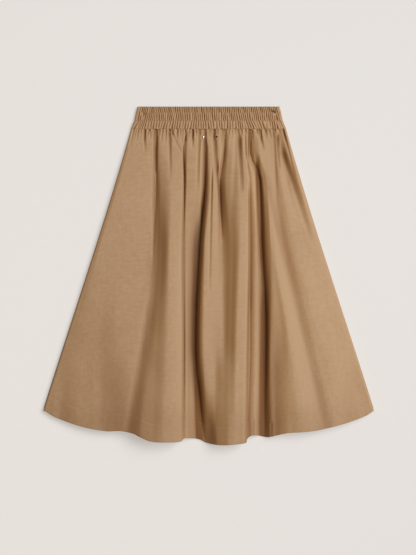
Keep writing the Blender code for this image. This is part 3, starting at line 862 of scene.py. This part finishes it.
def spun_thread(colours):
    """Spun polyester sewing thread, two plies twisted: slightly glossier than the cloth."""
    thread = bare_material("spun_polyester_thread")
    place = add_node(thread, "ShaderNodeTexCoord")
    ply = add_node(
        thread, "ShaderNodeTexNoise", {"Scale": 1 / THREAD_PLY, "Detail": 2.0},
        {"Vector": place.outputs["Object"]})
    colour = add_node(
        thread, "ShaderNodeMix",
        {"data_type": "RGBA", FIRST: (*colours.thread, 1), SECOND: (*colours.cloth_light, 1)},
        {SHARE: ply.outputs["Fac"]})
    bump = add_node(
        thread, "ShaderNodeBump", {"Strength": 0.5, "Distance": 0.0001}, {"Height": ply.outputs["Fac"]})
    shader = add_node(
        thread, "ShaderNodeBsdfPrincipled",
        {"IOR": 1.55, "Roughness": 0.5, "Sheen Weight": 0.1},
        {"Base Color": colour.outputs[MIXED], "Normal": bump.outputs["Normal"]})
    return finish_material(thread, shader)


def tack_thread(colours):
    """Dark spun thread of the bar tack that holds the elastic's end: matt and close."""
    thread = bare_material("dark_tack_thread")
    place = add_node(thread, "ShaderNodeTexCoord")
    ply = add_node(
        thread, "ShaderNodeTexNoise", {"Scale": 1 / TACK_PLY, "Detail": 2.0},
        {"Vector": place.outputs["Object"]})
    lighter = [1.6 * part for part in colours.tack]
    colour = add_node(
        thread, "ShaderNodeMix", {"data_type": "RGBA", FIRST: (*colours.tack, 1), SECOND: (*lighter, 1)},
        {SHARE: ply.outputs["Fac"]})
    shader = add_node(
        thread, "ShaderNodeBsdfPrincipled", {"IOR": 1.55, "Roughness": 0.6},
        {"Base Color": colour.outputs[MIXED]})
    return finish_material(thread, shader)


def plated_metal(name, colour, roughness):
    """A small stamped and plated metal dome, tumbled smooth, with fine hairlines."""
    metal = bare_material(name)
    place = add_node(metal, "ShaderNodeTexCoord")
    hairlines = add_node(
        metal, "ShaderNodeTexNoise", {"Scale": 1 / HAIRLINE, "Detail": 3.0},
        {"Vector": place.outputs["Object"]})
    worn = add_node(
        metal, "ShaderNodeMapRange",
        {"From Min": 0.3, "From Max": 0.7, "To Min": roughness * 0.8, "To Max": roughness * 1.25},
        {"Value": hairlines.outputs["Fac"]})
    darker = [0.9 * part for part in colour]
    tone = add_node(
        metal, "ShaderNodeMix", {"data_type": "RGBA", FIRST: (*colour, 1), SECOND: (*darker, 1)},
        {SHARE: hairlines.outputs["Fac"]})
    shader = add_node(
        metal, "ShaderNodeBsdfPrincipled", {"Metallic": 1.0},
        {"Base Color": tone.outputs[MIXED], "Roughness": worn.outputs[0]})
    return finish_material(metal, shader)


def opal_acrylic(colour, lit_colour, towards, falloff, glow):
    """Sand-blasted opal acrylic of a light table: matt, and lit from below, so shadows stay light."""
    opal = bare_material("opal_acrylic_light_table")
    place = add_node(opal, "ShaderNodeTexCoord")
    grit = add_node(
        opal, "ShaderNodeTexNoise", {"Scale": 1 / SAND_GRIT, "Detail": 3.0},
        {"Vector": place.outputs["Object"]})
    flecks = add_node(
        opal, "ShaderNodeMapRange",
        {"From Min": 0.3, "From Max": 0.7, "To Min": 0.99 * (1 - glow), "To Max": 1.01 * (1 - glow)},
        {"Value": grit.outputs["Fac"]})
    # It is toned darker towards the light, so that it looks evenly lit.
    nearness = add_node(
        opal, "ShaderNodeVectorMath", {"operation": "DOT_PRODUCT", 1: towards},
        {0: place.outputs["Object"]})
    within = add_node(
        opal, "ShaderNodeClamp", {"Min": -0.8, "Max": 1.2}, {"Value": nearness.outputs["Value"]})
    grade = add_node(opal, "ShaderNodeMath", {"operation": "POWER", 0: falloff}, {1: within.outputs[0]})
    share = add_node(
        opal, "ShaderNodeMath", {"operation": "MULTIPLY"}, {0: grade.outputs[0], 1: flecks.outputs[0]})
    tone = add_node(
        opal, "ShaderNodeVectorMath", {"operation": "SCALE", 0: colour}, {"Scale": share.outputs[0]})
    shader = add_node(
        opal, "ShaderNodeBsdfPrincipled",
        {"IOR": 1.49, "Roughness": 0.95, "Specular IOR Level": 0.1,
         "Emission Color": (*lit_colour, 1), "Emission Strength": glow},
        {"Base Color": tone.outputs["Vector"]})
    return finish_material(opal, shader)


# ---------------------------------------------------------------- waistband

def ruche_relief(sizes, place, up, seed):
    """Return the relief of the ruches in the channels that the stitching parts.

    Each ruche is a soft bulge between two narrow valleys, and is deepest in mid-channel.
    """
    edges = (0.0,) + CHANNEL_ROWS + (sizes.band_height,)
    relief = np.zeros(up.shape)
    for number, channel in enumerate(RUCHED_CHANNELS, 1):
        start, end = edges[number - 1], edges[number]
        rise = np.clip((up - start) / (end - start), 0, 1)
        lean = channel.slant * (up - start) * wander(place, RUCHE_LEAN_LENGTH, seed + 10 * number)
        sway = RUCHE_SWAY * wander(place, RUCHE_SWAY_LENGTH, seed + number)
        phase = 2 * np.pi * (place + lean) / channel.pitch + sway
        valley = np.abs(np.cos(phase / 2)) ** 3
        mean, varied = RUCHE_DEPTHS
        uneven = mean + varied * wander(place + 0.3 * up, RUCHE_DEPTH_LENGTH, seed + 20 + number)
        bulge = np.sin(np.pi * rise) ** 0.6
        stitched, added = RUCHE_RISE
        sunk = RUCHE_VALLEY * valley * uneven * (stitched + added * bulge)
        ruches = sizes.ruche_relief * channel.share * (RUCHE_BULGE * bulge - sunk)
        relief = np.where((up >= start) & (up <= end), ruches, relief)
    # The panel's gathers press into the lowest channel.
    sway = DENT_SWAY * wander(place, DENT_SWAY_LENGTH, seed + 5)
    dented = (0.5 + 0.5 * np.cos(2 * np.pi * place / DENT_PITCH + sway)) ** 3
    return relief - DENT_DEPTH * np.exp(-up / DENT_RISE) * dented


def tacked_ends(x, up):
    """Return how deep the dimple on the left and the crease at the tack on the right are."""
    off = (x - DIMPLE_PLACE[0]) / DIMPLE_SIZE[0]
    above = (up - DIMPLE_PLACE[1]) / DIMPLE_SIZE[1]
    dimple = np.exp(-off ** 2 - above ** 2)
    middle = TACK_CREASE_PLACE[0] + (TACK_CREASE_PLACE[1] - up) * TACK_CREASE_LEAN
    crease = np.exp(-((x - middle) / TACK_CREASE_WIDTH) ** 2)
    crease = crease * ease((up - TACK_CREASE_BOTTOM) / TACK_CREASE_BOTTOM_RUN)
    crease = crease * ease((TACK_CREASE_TOP - up) / TACK_CREASE_TOP_RUN)
    return DIMPLE_DEPTH * dimple, TACK_CREASE_DEPTH * crease


def band_grid(sizes, face):
    """Return the outer face of half the waistband, rows from the waist seam to the top.

    How far each row is above the seam follows. Face is 1 for the front half, -1 for the back.
    """
    height = sizes.band_height
    rises = np.linspace(0, height, int(height / BAND_ROW) + 1)
    columns = int(2 * sizes.seam_half_width / BAND_COLUMN)
    share = np.linspace(-1, 1, columns + 1)
    reach = np.interp(rises, BAND_RISES, BAND_HALF_WIDTHS)[:, None] - BAND_EDGE_RADIUS
    x = reach * share[None, :]
    up = np.broadcast_to(rises[:, None], x.shape)
    place = share[None, :] * BAND_MIDDLE_HALF_WIDTH
    seed = FRONT_BAND_SEED if face > 0 else BACK_BAND_SEED

    dimple, crease = tacked_ends(x, up)
    relief = ruche_relief(sizes, place, up, seed) - dimple - crease
    roll = np.minimum(up / BAND_ROLL, (height - up) / BAND_ROLL)
    rolled_off = 1 - np.sqrt(np.clip(1 - (1 - np.clip(roll, 0, 1)) ** 2, 0, 1))
    rounding = np.where(up < height / 2, BAND_BOTTOM_ROUNDING, BAND_TOP_ROUNDING)
    room = ease((reach - np.abs(x)) / BAND_SIDE_ROOM)
    z = BAND_SEAM_HEIGHT + face * BAND_EDGE_RADIUS + face * (relief * room - rounding * rolled_off)
    if face < 0:
        z = np.maximum(z, BAND_SEAM_HEIGHT - BAND_EDGE_RADIUS - BACK_BAND_SAG)

    stretch = (height - SEAM_GAP / 2) / height
    y = seam_y(sizes) + SEAM_GAP / 2 + up * stretch
    wave = BAND_TOP_WAVE * (0.5 + 0.5 * wander(place, BAND_TOP_WAVE_LENGTH, seed + 7))
    y = y - wave * ease((up - BAND_TOP_WAVE_FROM) / BAND_TOP_WAVE_RUN)
    return np.stack([x, y, z], axis=-1), rises


def stitch_line_shade(sizes, rises):
    """Return the painted shade of each row, along the band's stitching, its top edge and the waist seam."""
    row_shade = SHADED_SEAM * np.exp(-rises / SHADED_SEAM_RISE)
    for above, share in zip(CHANNEL_ROWS + (sizes.band_height,), SHADED_ROWS):
        row_shade = row_shade + share * np.exp(-((rises - above) / SHADED_ROW_WIDTH) ** 2)
    return row_shade


# ---------------------------------------------------------------- stitches

def level_line(points, levels, level, outward):
    """Return the points and normals of a grid where it crosses one level between its rows.

    Outward is 1 where the grid's normals point out of the cloth, and -1 where they point in.
    """
    row = int(np.searchsorted(levels, level)) - 1
    share = (level - levels[row]) / (levels[row + 1] - levels[row])
    normals = grid_normals(points) * outward
    return tuple(grid[row] * (1 - share) + grid[row + 1] * share for grid in (points, normals))


def stitch_row(points, normals, length, gap, thickness):
    """List the ends, direction and thickness of the stitches along a line of points."""
    steps = np.linalg.norm(np.diff(points, axis=0), axis=1)
    far = np.concatenate([[0.0], np.cumsum(steps)])

    def read(values, where):
        """Read points or normals at a distance along the line."""
        return np.array([np.interp(where, far, values[:, axis]) for axis in range(3)])

    places = []
    at = gap
    while at + length < far[-1]:
        up = read(normals, at + length / 2)
        up /= np.linalg.norm(up)
        rise = up * thickness * STITCH_RISE
        places.append((read(points, at) + rise, read(points, at + length) + rise, up, thickness))
        at += length + gap
    return places


def bar_tack(points, levels):
    """List the close stitches of the bar tack on the waistband, whose rows are level."""
    places = []
    forward = np.array([math.cos(TACK_TURN), math.sin(TACK_TURN)])
    across = np.array([-forward[1], forward[0]])
    for step in range(TACK_STITCHES):
        off = (step / (TACK_STITCHES - 1) - 0.5) * TACK_SIZE[0]
        ends = []
        for side in (-0.5, 0.5):
            spot = np.array(TACK_PLACE) + forward * off + across * side * TACK_SIZE[1]
            row = np.abs(levels - spot[1]).argmin()
            column = np.abs(points[row, :, 0] - spot[0]).argmin()
            top = points[row - 2:row + 3, column - 2:column + 3, 2].max()
            ends.append(np.array([spot[0], points[row, column, 1], top + TACK_RISE]))
        places.append((ends[0], ends[1], np.array([0.0, 0.0, 1.0]), TACK_THREAD))
    return places


def stitches(name, places, material):
    """Join stitches, each a short swelling length of thread, into one piece."""
    made = bmesh.new()
    for start, end, up, thickness in places:
        start, end, up = Vector(start), Vector(end), Vector(up)
        forward = (end - start).normalized()
        side = forward.cross(up).normalized()
        loops = []
        for share, swell in STITCH_SWELL:
            centre = start.lerp(end, share) - up * thickness * 0.5 * (1 - math.sin(math.pi * share))
            loop = []
            for step in range(STITCH_SIDES):
                turn = 2 * math.pi * step / STITCH_SIDES
                offset = side * math.cos(turn) + up * math.sin(turn)
                loop.append(made.verts.new(centre + offset * (thickness / 2 * swell)))
            loops.append(loop)
        for before, after in zip(loops, loops[1:]):
            for step in range(STITCH_SIDES):
                other = (step + 1) % STITCH_SIDES
                made.faces.new((before[step], before[other], after[other], after[step]))
        made.faces.new(tuple(reversed(loops[0])))
        made.faces.new(tuple(loops[-1]))
    bmesh.ops.recalc_face_normals(made, faces=made.faces)
    mesh = bpy.data.meshes.new(name)
    made.to_mesh(mesh)
    made.free()
    mesh.shade_smooth()
    return new_object(name, mesh, material)


# ---------------------------------------------------------------- properties

class SkirtSizes(bpy.types.PropertyGroup):
    """Sizes of the skirt as it lies."""
    skirt_length: FloatProperty(
        name="Length", description="Waistband's top edge to the lowest point of the hem",
        default=0.795, unit="LENGTH")
    band_height: FloatProperty(
        name="Waistband", description="Height of the gathered casing", default=0.0533, unit="LENGTH")
    seam_half_width: FloatProperty(
        name="Half waist", description="Half the width at the waist seam", default=0.1827, unit="LENGTH")
    hem_half_width: FloatProperty(
        name="Half hem", description="Half the width at the hem's corners", default=0.3891, unit="LENGTH")
    hem_turn_up: FloatProperty(
        name="Hem", description="Depth of the turned-up hem", default=0.040, unit="LENGTH")
    cloth_wall: FloatProperty(
        name="Cloth", description="Thickness of the cloth", default=0.0006, unit="LENGTH")
    fold_height: FloatProperty(
        name="Fold height", description="Share of the folds' full height", default=1.0,
        subtype="FACTOR", min=0.2, max=1.5)
    ruche_relief: FloatProperty(
        name="Ruches", description="Relief of the ruches on the waistband", default=0.0022,
        unit="LENGTH")


class SkirtColours(bpy.types.PropertyGroup):
    """Colours of the cloth, thread, metal and table."""
    cloth_light: FloatVectorProperty(
        name="Cloth", description="The cloth's lighter threads", subtype="COLOR",
        default=hexed("#aa8b6a"))
    cloth_dark: FloatVectorProperty(
        name="Cloth, dark", description="The cloth's darker threads", subtype="COLOR",
        default=hexed("#9f7d5c"))
    # Painted shade deep in folds
    cloth_fold_shade: FloatVectorProperty(
        name="Painted fold shade", description="Painted shade on the cloth deep in a fold", subtype="COLOR",
        default=hexed("#6a3f13"))
    # Painted shade on slopes that face away from the soft light
    cloth_slope_shade: FloatVectorProperty(
        name="Painted shade on slopes", description="Painted shade where the cloth slopes away from the soft light",
        subtype="COLOR", default=hexed("#a57b4f"))
    # Painted dimming on slopes that face the soft light
    cloth_slope_lit: FloatVectorProperty(
        name="Painted dimming on lit slopes", description="Painted dimming where the cloth slopes towards the soft light",
        subtype="COLOR", default=hexed("#9b7c5b"))
    thread: FloatVectorProperty(
        name="Thread", description="Sewing thread", subtype="COLOR", default=hexed("#8f6d4c"))
    tack: FloatVectorProperty(
        name="Tack thread", description="Thread of the bar tack", subtype="COLOR",
        default=hexed("#5e4630"))
    # Both studs are the same plated nickel. The left is drawn bright, as if it caught the light, and the
    # right is painted dark, as if in a fold's shade.
    stud_lit: FloatVectorProperty(
        name="Lit stud", description="Plated stud drawn as if lit", subtype="COLOR",
        default=hexed("#f4f1ea"))
    stud_shaded: FloatVectorProperty(
        name="Shaded stud", description="Plated stud painted dark as if in shade", subtype="COLOR", default=hexed("#4a4441"))
    table: FloatVectorProperty(
        name="Table", description="Light table under the skirt", subtype="COLOR",
        default=hexed("#d6d2cf"))
    table_lit: FloatVectorProperty(
        name="Table, lit", description="Light that comes up through the table", subtype="COLOR",
        default=hexed("#e8e3de"))


class StudioSettings(bpy.types.PropertyGroup):
    """Camera and light."""
    camera_height: FloatProperty(
        name="Camera height", description="Camera above the floor", default=3.5, unit="LENGTH")
    camera_lens: FloatProperty(
        name="Lens", description="Focal length of the camera in millimetres", default=96.34)
    key_power: FloatProperty(
        name="Key light", description="Power of the large soft light", default=185.5, unit="POWER")
    key_size: FloatProperty(
        name="Key size", description="Side of the square soft light", default=2.34, unit="LENGTH")
    key_distance: FloatProperty(
        name="Key distance", description="Soft light to the skirt", default=3.6, unit="LENGTH")
    key_elevation: FloatProperty(
        name="Key elevation", description="Soft light above the floor", default=math.radians(52),
        subtype="ANGLE")
    key_turn: FloatProperty(
        name="Key direction", description="Soft light round from the skirt's right",
        default=math.radians(20), subtype="ANGLE")
    fill: FloatProperty(name="Fill", description="Light from all round", default=0.185)
    floor_glow: FloatProperty(
        name="Table glow", description="Share of the floor's brightness that comes from below it",
        default=0.55, subtype="FACTOR", min=0.0, max=1.0)


# ---------------------------------------------------------------- operators

class SKIRT_OT_front_panel(bpy.types.Operator):
    """Make the front panel with its folds, gathers and turned-up hem"""
    bl_idname = "skirt.front_panel"
    bl_label = "Front panel"

    def execute(self, context):
        sizes = context.scene.skirt_sizes
        points, depth, gathered = front_grid(sizes)
        points = curled(points, SIDE_SEAM_HEIGHT, EDGE_RADIUS)
        depth = beside_curls(depth, "edge")
        # Painted shade in the folds and tucks, carried by the crease attribute
        crease = front_fold_shade(points, depth, beside_curls(gathered, "constant"))
        grain = sector_grain(points, depth)
        body_rows = len(points)
        points = turned_hem(sizes, points)
        hem_rows = (0, len(points) - body_rows)
        crease = np.pad(crease, [hem_rows, (0, 0)], mode="edge")
        grain = np.pad(grain, [hem_rows, (0, 0), (0, 0)], mode="edge")
        cloth = cotton_gabardine(context.scene.skirt_colours)
        piece = cloth_sheet("front_panel_cloth", points, cloth, sizes.cloth_wall, grain, crease)
        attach(piece, "root")
        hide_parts("front_panel")
        return {"FINISHED"}


class SKIRT_OT_back_panel(bpy.types.Operator):
    """Make the back panel, which lies on the floor"""
    bl_idname = "skirt.back_panel"
    bl_label = "Back panel"

    def execute(self, context):
        sizes = context.scene.skirt_sizes
        downs = panel_rows()[::BACK_ROW_STEP]
        across, lift = fold_grid(sizes, downs, BACK_HEM_COLUMN, BACK_WAIST_COLUMN, SIDE_SEAM_HEIGHT)[:2]
        length = arc_depth(sizes, across[-1]) - BACK_HEM_INSET
        depth = SEAM_GAP / 2 + downs[:, None] * (length - SEAM_GAP / 2)
        y = seam_y(sizes) - depth
        followed = ease((downs[:, None] - BACK_ECHO_FROM) / BACK_ECHO_RUN)
        echo = BACK_ECHO * np.maximum(0.0, lift - BACK_ECHO_LIFT) * followed
        points = np.stack([across, y, echo + FLOOR_CLEARANCE], axis=-1)
        points = curled(points, SIDE_SEAM_HEIGHT, SIDE_SEAM_HEIGHT)
        grain = sector_grain(points, beside_curls(depth, "edge"))
        cloth = cotton_gabardine(context.scene.skirt_colours)
        piece = cloth_sheet(
            "back_panel_cloth", points, cloth, sizes.cloth_wall, grain,
            np.zeros(points.shape[:2]), flip=True)
        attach(piece, "root")
        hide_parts("back_panel")
        return {"FINISHED"}


class SKIRT_OT_waistband(bpy.types.Operator):
    """Make both halves of the ruched elastic casing"""
    bl_idname = "skirt.waistband"
    bl_label = "Waistband"

    def execute(self, context):
        sizes = context.scene.skirt_sizes
        cloth = cotton_gabardine(context.scene.skirt_colours)
        for side, face in (("front", 1), ("back", -1)):
            points, rises = band_grid(sizes, face)
            points = curled(points, BAND_SEAM_HEIGHT, BAND_EDGE_RADIUS)
            # Painted shade in the valleys between the ruches
            crease = hollow_shade(points * np.array([1, 1, face]), RUCHE_REACH, RUCHE_STEEPNESS)
            # and painted shade along the stitching, the top edge and the seam
            crease = np.clip(crease + stitch_line_shade(sizes, rises)[:, None], 0, 1)
            grain = np.stack([points[..., 0] * CASING_FULLNESS, points[..., 1]], axis=-1)
            name = f"waistband_{side}"
            piece = cloth_sheet(
                name + "_cloth", points, cloth, BAND_WALL, grain, crease, flip=face > 0)
            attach(piece, "root")
            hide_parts(name)
        return {"FINISHED"}


class SKIRT_OT_stitching(bpy.types.Operator):
    """Sew the hem, the elastic's channels and its bar tack"""
    bl_idname = "skirt.stitching"
    bl_label = "Stitching"

    def execute(self, context):
        sizes = context.scene.skirt_sizes
        colours = context.scene.skirt_colours
        spun = spun_thread(colours)
        hem = level_line(front_grid(sizes)[0], panel_rows(), HEM_STITCH, 1)
        band, rises = band_grid(sizes, 1)
        channels = []
        for above in CHANNEL_ROWS:
            channels += stitch_row(*level_line(band, rises, above, -1), *CHANNEL_STITCH_SIZE)
        for name, places, thread in (
            ("hem_stitches", stitch_row(*hem, *HEM_STITCH_SIZE), spun),
            ("channel_stitches", channels, spun),
            ("bar_tack", bar_tack(band, rises), tack_thread(colours)),
        ):
            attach(stitches(name, places, thread), "root")
        return {"FINISHED"}


class SKIRT_OT_studs(bpy.types.Operator):
    """Finish the two small domed studs"""
    bl_idname = "skirt.studs"
    bl_label = "Studs"

    def execute(self, context):
        colours = context.scene.skirt_colours
        # One plate in two copies: a bright one with a painted highlight, and one painted dark as shade
        for node, name, colour, roughness in (
            ("stud_left", "lit_nickel_plate", colours.stud_lit, 0.30),
            ("stud_right", "shaded_nickel_plate", colours.stud_shaded, 0.35),
        ):
            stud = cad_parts[node]
            stud.data.materials.clear()
            stud.data.materials.append(plated_metal(name, colour, roughness))
        return {"FINISHED"}


# ---------------------------------------------------------------- studio

def light_table(colours, studio, towards, flat):
    """Make the floor, the top of a large light table, toned against the light's fall-off."""
    top = bmesh.new()
    bmesh.ops.create_grid(top, x_segments=1, y_segments=1, size=FLOOR_HALF_SIZE)
    mesh = bpy.data.meshes.new("floor")
    top.to_mesh(mesh)
    top.free()
    opal = opal_acrylic(
        colours.table, colours.table_lit, (towards.x / flat, towards.y / flat, 0),
        math.exp(-KEY_FALLOFF * flat / studio.key_distance), studio.floor_glow)
    return new_object("floor", mesh, opal)


def soft_light(studio, towards):
    """Hang the large square soft light, turned to the middle of the skirt."""
    light = bpy.data.lights.new("key", "AREA")
    light.shape = "SQUARE"
    light.size = studio.key_size
    light.energy = studio.key_power
    light.color = KEY_COLOUR
    key = bpy.data.objects.new("key", light)
    key.location = towards * studio.key_distance
    key.rotation_mode = "QUATERNION"
    key.rotation_quaternion = towards.to_track_quat("Z", "Y")
    bpy.context.scene.collection.objects.link(key)


def surroundings(studio):
    """Make pale walls, and a warm dim ceiling that gives the folds their warm shade."""
    world = bpy.data.worlds.new("studio")
    bpy.context.scene.world = world
    world.use_nodes = True
    world.node_tree.nodes.clear()
    place = add_node(world, "ShaderNodeTexCoord")
    axes = add_node(world, "ShaderNodeSeparateXYZ", links={"Vector": place.outputs["Generated"]})
    above = add_node(
        world, "ShaderNodeMapRange", {"From Min": WALL_TOP[0], "From Max": WALL_TOP[1]},
        {"Value": axes.outputs["Z"]})
    ceiling = [part * studio.fill for part in CEILING_TINT]
    tone = add_node(
        world, "ShaderNodeMix", {"data_type": "RGBA", FIRST: (*WALL_COLOUR, 1), SECOND: (*ceiling, 1)},
        {SHARE: above.outputs[0]})
    sky = add_node(world, "ShaderNodeBackground", {"Strength": 1.0}, {"Color": tone.outputs[MIXED]})
    add_node(world, "ShaderNodeOutputWorld", links={"Surface": sky.outputs[0]})


def camera_above(studio):
    """Put the camera straight above the skirt, looking down."""
    scene = bpy.context.scene
    lens = bpy.data.cameras.new("camera")
    lens.lens = studio.camera_lens
    lens.sensor_width = SENSOR_WIDTH
    lens.clip_end = CAMERA_REACH
    camera = bpy.data.objects.new("camera", lens)
    camera.location = (*CAMERA_PLACE, studio.camera_height)
    scene.collection.objects.link(camera)
    scene.camera = camera
    scene.view_settings.view_transform = "Standard"
    scene.view_settings.look = "None"


class SKIRT_OT_studio(bpy.types.Operator):
    """Make the floor, the light and the camera"""
    bl_idname = "skirt.studio"
    bl_label = "Studio"

    def execute(self, context):
        scene = context.scene
        studio = scene.skirt_studio
        # Which way the soft light is, and how long the level part of that direction is
        flat = math.cos(studio.key_elevation)
        towards = Vector((
            flat * math.cos(studio.key_turn), flat * math.sin(studio.key_turn),
            math.sin(studio.key_elevation)))
        light_table(scene.skirt_colours, studio, towards, flat)
        soft_light(studio, towards)
        surroundings(studio)
        camera_above(studio)
        return {"FINISHED"}


# ---------------------------------------------------------------- panel, registering, running

OPERATORS = (
    SKIRT_OT_studio,
    SKIRT_OT_front_panel,
    SKIRT_OT_back_panel,
    SKIRT_OT_waistband,
    SKIRT_OT_stitching,
    SKIRT_OT_studs,
)


class SKIRT_PT_panel(bpy.types.Panel):
    """Sizes, colours and pieces of the skirt"""
    bl_idname = "SKIRT_PT_panel"
    bl_label = "Circle skirt"
    bl_space_type = "VIEW_3D"
    bl_region_type = "UI"
    bl_category = "Skirt"

    def draw(self, context):
        layout = self.layout
        for group in (context.scene.skirt_sizes, context.scene.skirt_colours, context.scene.skirt_studio):
            box = layout.box()
            for name in group.__annotations__:
                box.prop(group, name)
        for operator in OPERATORS:
            layout.operator(operator.bl_idname)


CLASSES = (SkirtSizes, SkirtColours, StudioSettings) + OPERATORS + (SKIRT_PT_panel,)


def register():
    """Add the classes, and hang their settings on the scene."""
    for made in CLASSES:
        bpy.utils.register_class(made)
    bpy.types.Scene.skirt_sizes = PointerProperty(type=SkirtSizes)
    bpy.types.Scene.skirt_colours = PointerProperty(type=SkirtColours)
    bpy.types.Scene.skirt_studio = PointerProperty(type=StudioSettings)


def unregister():
    """Take the settings and classes away again."""
    del bpy.types.Scene.skirt_studio
    del bpy.types.Scene.skirt_colours
    del bpy.types.Scene.skirt_sizes
    for made in reversed(CLASSES):
        bpy.utils.unregister_class(made)


def main():
    """Make the whole skirt and its studio."""
    register()
    for operator in OPERATORS:
        group, name = operator.bl_idname.split(".")
        getattr(getattr(bpy.ops, group), name)()


if __name__ == "__main__":
    main()
